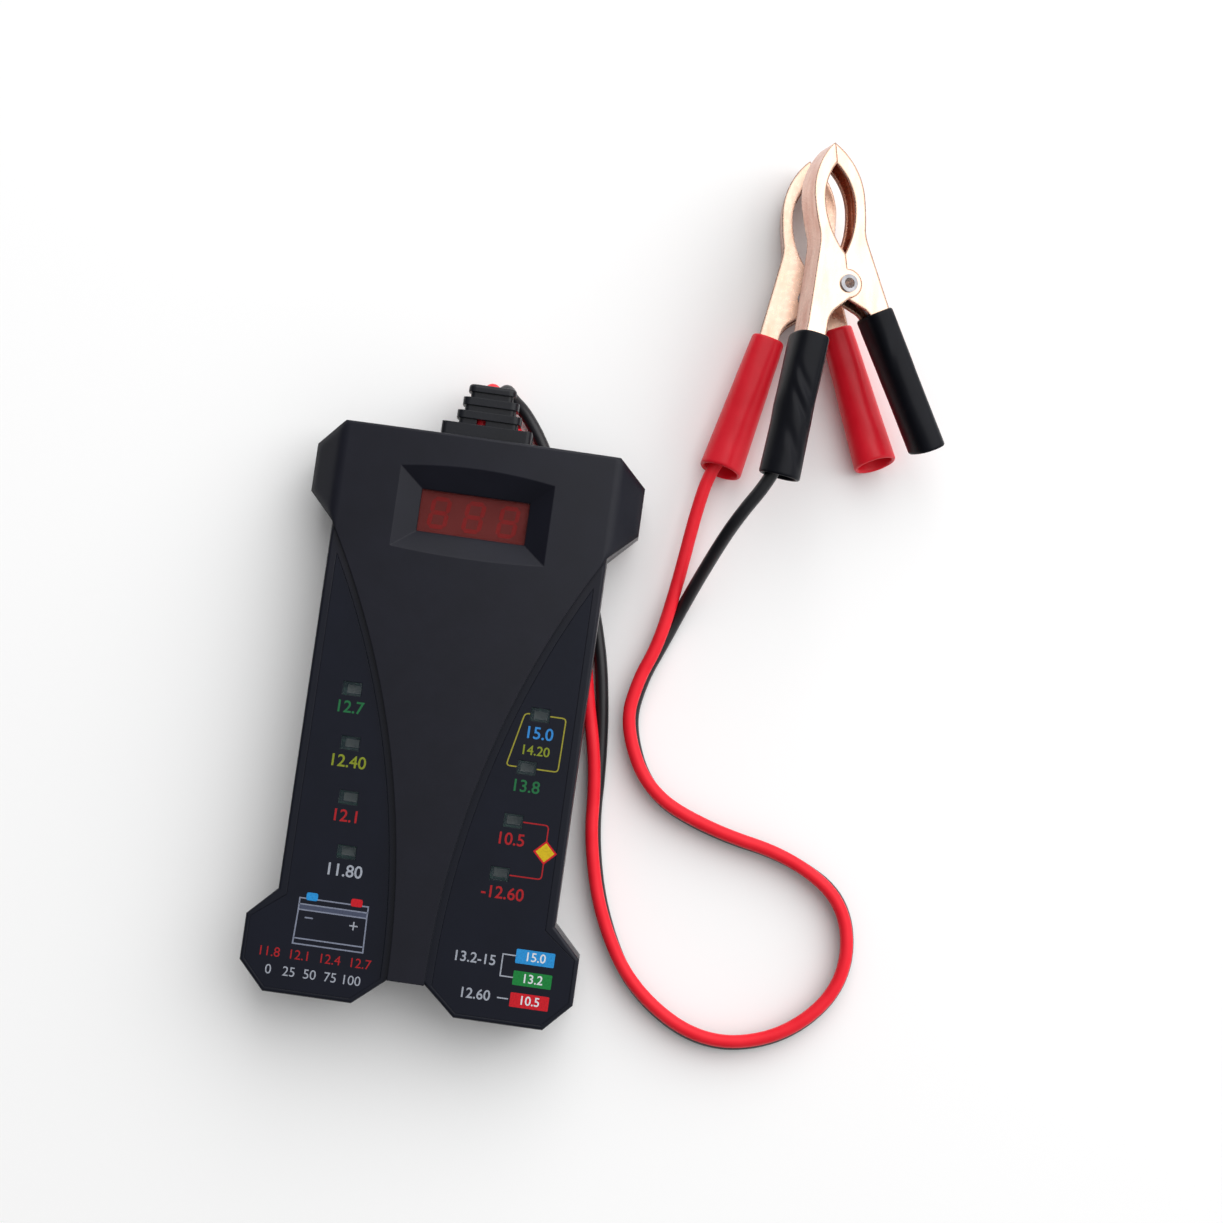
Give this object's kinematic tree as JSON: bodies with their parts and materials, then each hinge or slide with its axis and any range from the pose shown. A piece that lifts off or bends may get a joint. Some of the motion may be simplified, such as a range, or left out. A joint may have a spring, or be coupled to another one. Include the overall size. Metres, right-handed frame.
{
  "type": "car battery tester",
  "caption": "Hand-held car battery tester: T-shaped black case with a red number display and two rows of lights, red and black leads and sprung copper clips.",
  "frame": {"origin": "under the middle of the case, on the surface its back pads rest on", "axes": "+Z out of the front face, +Y towards the end the leads come out of, +X to the right seen from the front"},
  "size_m": [0.137, 0.2, 0.0314],
  "materials": {
    "case_black": "satin",
    "film": "satin",
    "clear": "polished",
    "light": "gloss",
    "display_red": "gloss",
    "display_black": "matte",
    "board_green": "satin",
    "component": "matte",
    "capacitor_can": "satin",
    "steel": "polished",
    "relief_black": "matte",
    "lead_red": "satin",
    "lead_black": "satin",
    "copper": "polished",
    "sleeve_red": "gloss",
    "sleeve_black": "gloss"
  },
  "bodies": {
    "tester": {"front_cover": "case_black", "back_cover": "case_black", "right_film": "film", "left_film": "film", "light_windows": "clear", "indicator_lights": "light", "display_window": "display_red", "display_module": "display_black", "circuit_board": "board_green", "controller_chip": "component", "voltage_regulator": "component", "protection_diode": "component", "capacitor": "capacitor_can", "resistors": "component", "case_screws": "steel", "board_screws": "steel", "strain_relief": "relief_black", "red_lead": "lead_red", "black_lead": "lead_black", "red_wire_jaw": "copper", "red_rivet": "steel", "red_spring": "steel", "red_wire_sleeve": "sleeve_red", "black_wire_jaw": "copper", "black_rivet": "steel", "black_spring": "steel", "black_wire_sleeve": "sleeve_black"},
    "red_lever": {"red_free_jaw": "copper", "red_free_sleeve": "sleeve_red"},
    "black_lever": {"black_free_jaw": "copper", "black_free_sleeve": "sleeve_black"}
  },
  "joints": [
    {"name": "red_clip_hinge", "type": "hinge", "parent": "tester", "child": "red_lever", "pos_m": [0.06604, 0.10477, 0.00515], "axis": [0, 0, -1], "range_deg": [0, 28], "stiffness_Nm_per_rad": 0.5, "springref_deg": -22.92, "deforming": ["red_spring"]},
    {"name": "black_clip_hinge", "type": "hinge", "parent": "tester", "child": "black_lever", "pos_m": [0.07266, 0.10626, 0.0209], "axis": [-0.3016, -0.0674, -0.9511], "range_deg": [0, 28], "stiffness_Nm_per_rad": 0.5, "springref_deg": -22.92, "deforming": ["black_spring"]}
  ]
}
